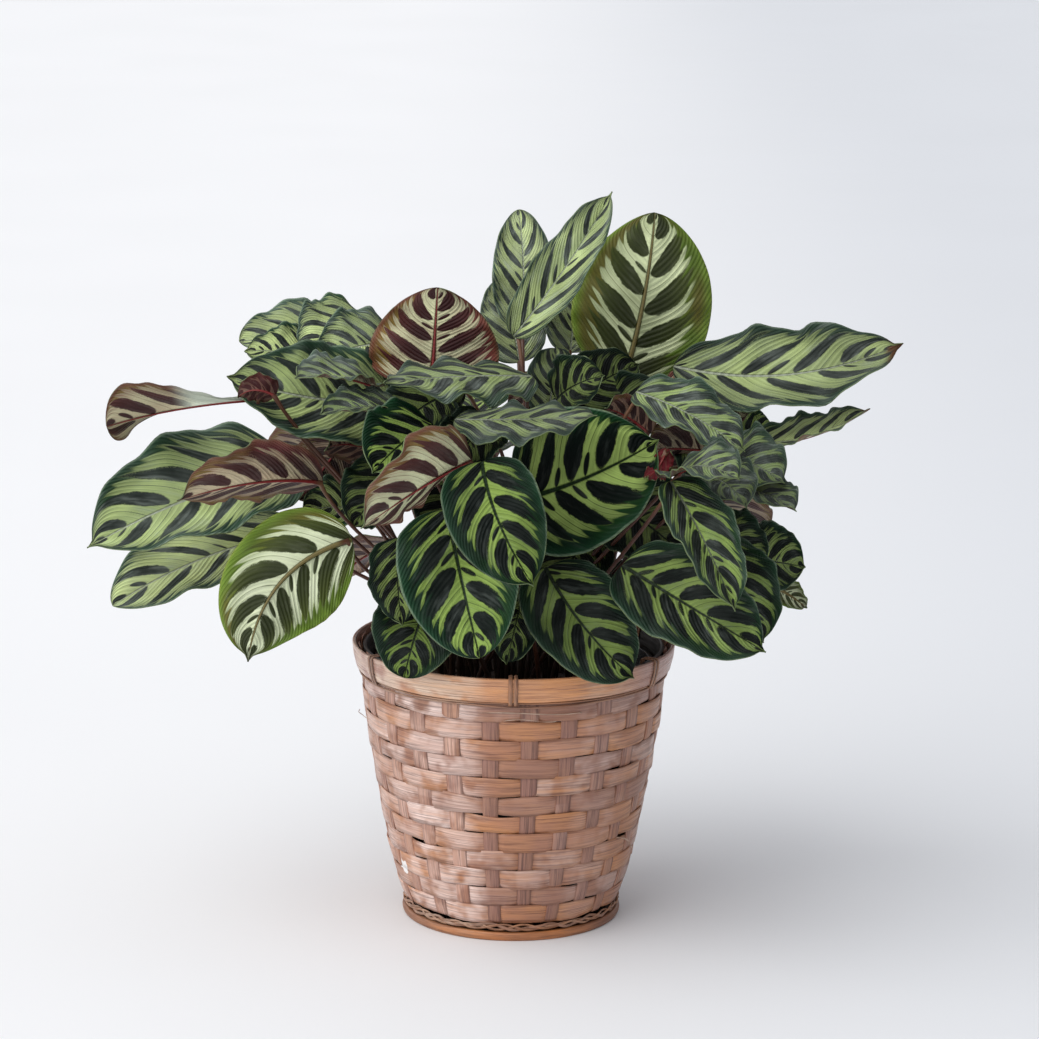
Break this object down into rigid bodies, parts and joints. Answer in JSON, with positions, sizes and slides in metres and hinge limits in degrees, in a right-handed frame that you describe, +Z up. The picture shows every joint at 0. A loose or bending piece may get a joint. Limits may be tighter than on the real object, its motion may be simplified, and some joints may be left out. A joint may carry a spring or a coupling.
{
  "type": "potted calathea",
  "caption": "Bushy calathea with feather-patterned oval leaves on thin stems, standing in a round tapered basket of woven wood splint with a dark plastic liner pot.",
  "frame": {"origin": "centre of the basket floor's underside, on the ground", "axes": "+Z up, the front of the plant faces -Y, +X to the right seen from the front"},
  "size_m": [0.4772, 0.3499, 0.4357],
  "materials": {
    "leaf_green": "satin, waxy",
    "leaf_maroon": "matte",
    "leaf_pale": "matte",
    "splint": "raw, slightly shiny grain",
    "rim_splint": "raw, satin",
    "foot_splint": "raw, satin",
    "liner": "glossy",
    "soil": "rough, damp"
  },
  "bodies": {
    "root": {"leaf_top_left_a": "leaf_green", "leaf_top_left_b": "leaf_green", "leaf_top_left_c": "leaf_green", "leaf_mid_left_big": "leaf_green", "leaf_left_gray": "leaf_green", "leaf_left_dark": "leaf_green", "leaf_far_left_twisted": "leaf_maroon", "leaf_left_big": "leaf_green", "leaf_left_purple": "leaf_maroon", "leaf_left_bright": "leaf_green", "leaf_left_behind": "leaf_green", "leaf_low_left_cream": "leaf_pale", "leaf_low_left_pale": "leaf_green", "leaf_left_low_dark": "leaf_green", "leaf_brown_fan": "leaf_maroon", "leaf_top_gray": "leaf_green", "leaf_front_gray": "leaf_green", "leaf_upright_left": "leaf_green", "leaf_upright_long": "leaf_green", "leaf_upright_back": "leaf_green", "leaf_upright_big": "leaf_pale", "leaf_dark_arch": "leaf_green", "leaf_center_big": "leaf_green", "leaf_center_purple": "leaf_maroon", "leaf_front_hang": "leaf_green", "leaf_front_low": "leaf_green", "leaf_right_long": "leaf_green", "leaf_right_brown": "leaf_maroon", "leaf_right_twist": "leaf_green", "leaf_right_under": "leaf_maroon", "leaf_right_narrow": "leaf_green", "leaf_right_drop": "leaf_green", "leaf_right_sheen": "leaf_green", "leaf_right_sheen_low": "leaf_green", "leaf_right_ruffled": "leaf_green", "leaf_right_hanging": "leaf_green", "leaf_right_mid": "leaf_green", "leaf_right_round": "leaf_green", "leaf_right_low": "leaf_green", "leaf_right_low_big": "leaf_green", "leaf_pot_left": "leaf_green", "leaf_pot_mid": "leaf_green", "leaf_pot_right": "leaf_green", "leaf_back_left_high": "leaf_green", "leaf_back_mid_high": "leaf_green", "leaf_back_right_high": "leaf_green", "leaf_back_left_mid": "leaf_green", "leaf_back_mid_left": "leaf_green", "leaf_back_mid_right": "leaf_green", "leaf_back_right_mid": "leaf_green", "leaf_back_left_low": "leaf_green", "leaf_back_mid_low": "leaf_green", "leaf_back_right_low": "leaf_green", "basket_wall": "splint", "rim_outer": "rim_splint", "rim_inner": "rim_splint", "foot_ring": "foot_splint", "basket_floor": "splint", "liner_pot": "liner", "soil": "soil"}
  },
  "joints": []
}
